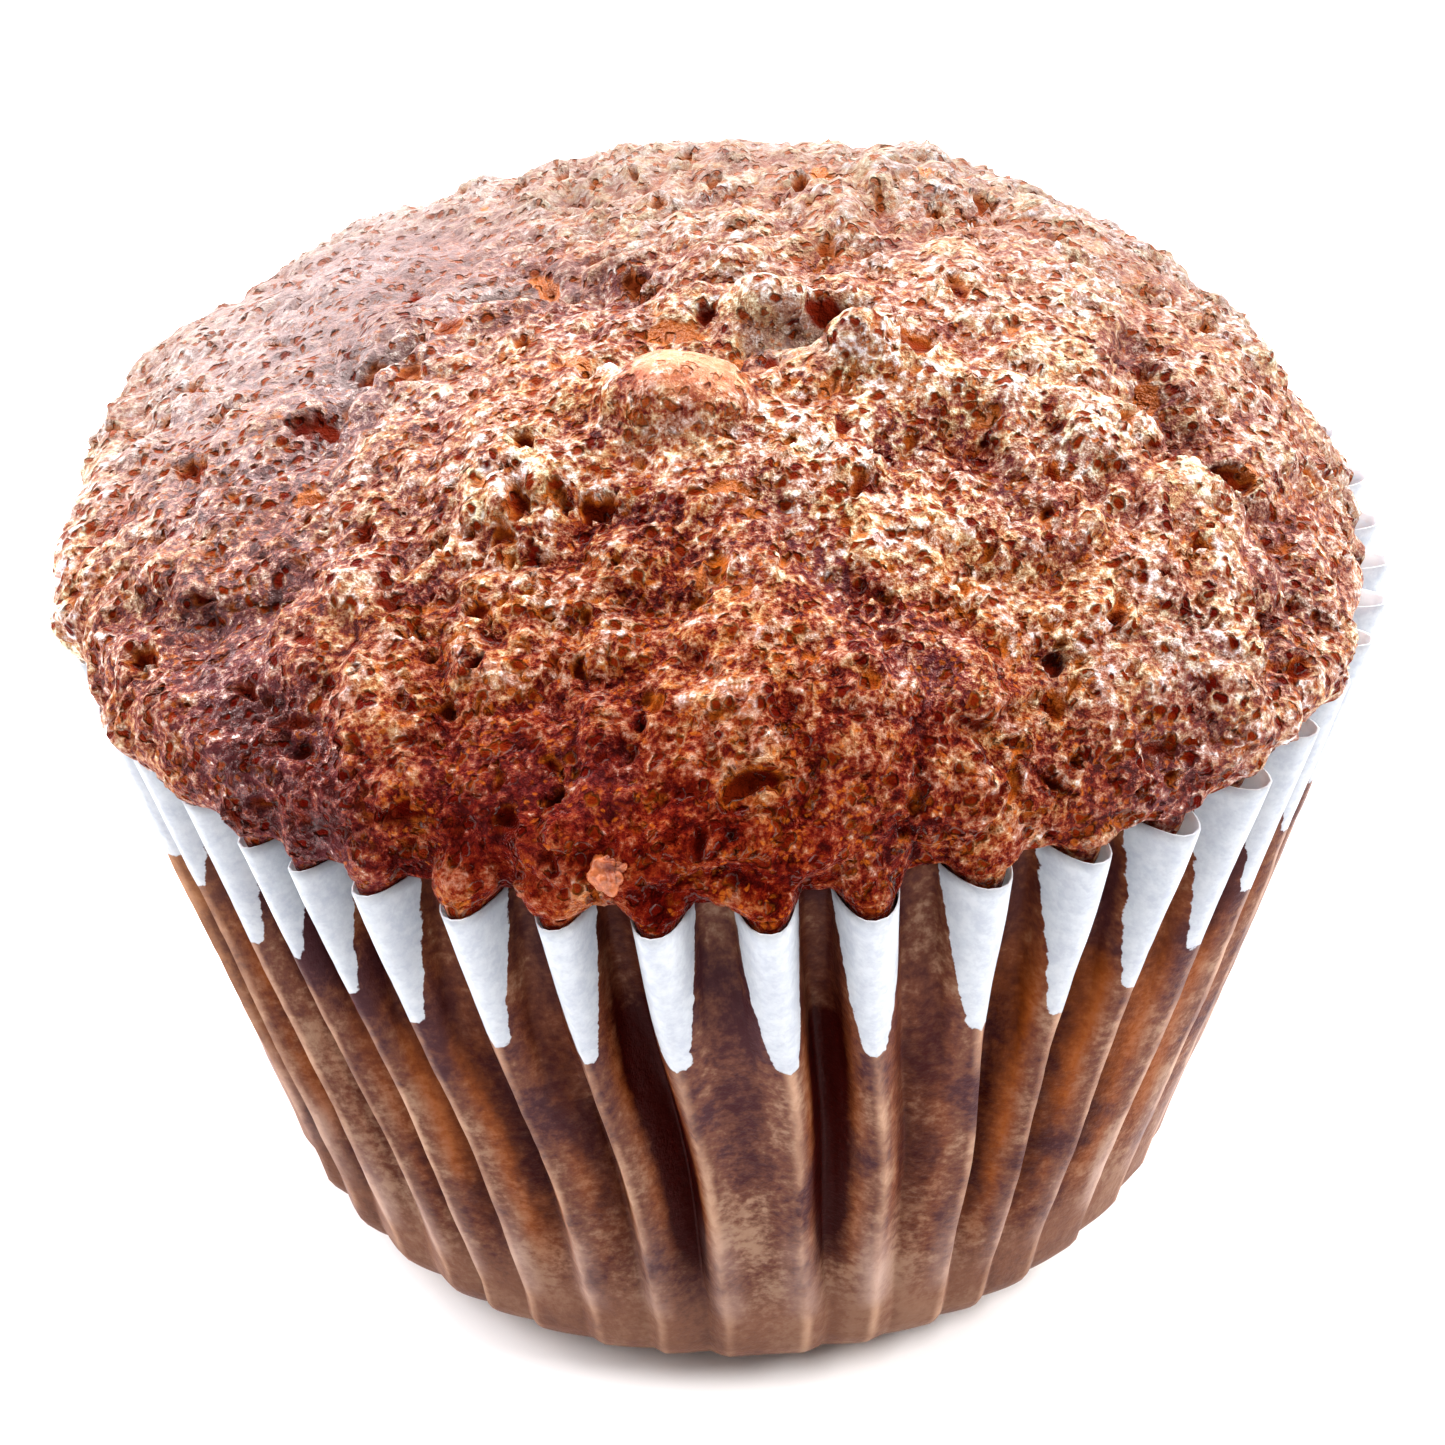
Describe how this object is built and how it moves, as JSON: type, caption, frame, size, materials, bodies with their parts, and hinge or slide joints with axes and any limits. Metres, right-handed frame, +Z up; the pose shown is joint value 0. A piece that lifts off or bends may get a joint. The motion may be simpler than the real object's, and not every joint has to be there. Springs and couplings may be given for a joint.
{
  "type": "muffin in a paper case",
  "caption": "Baked muffin with a cragged, porous dome over the rim of a pleated paper case that tapers to a flat base.",
  "frame": {"origin": "middle of the paper case's base, on the surface it stands on", "axes": "+Z up, -Y towards the front, +X to the right, where the rim is highest"},
  "size_m": [0.0652, 0.068, 0.0507],
  "materials": {
    "paper": "thin greaseproof paper, white and dry at the folds, soaked and see-through below",
    "crumb": "porous baked crust, slightly moist"
  },
  "bodies": {
    "root": {"paper_case": "paper", "cake": "crumb"}
  },
  "joints": []
}
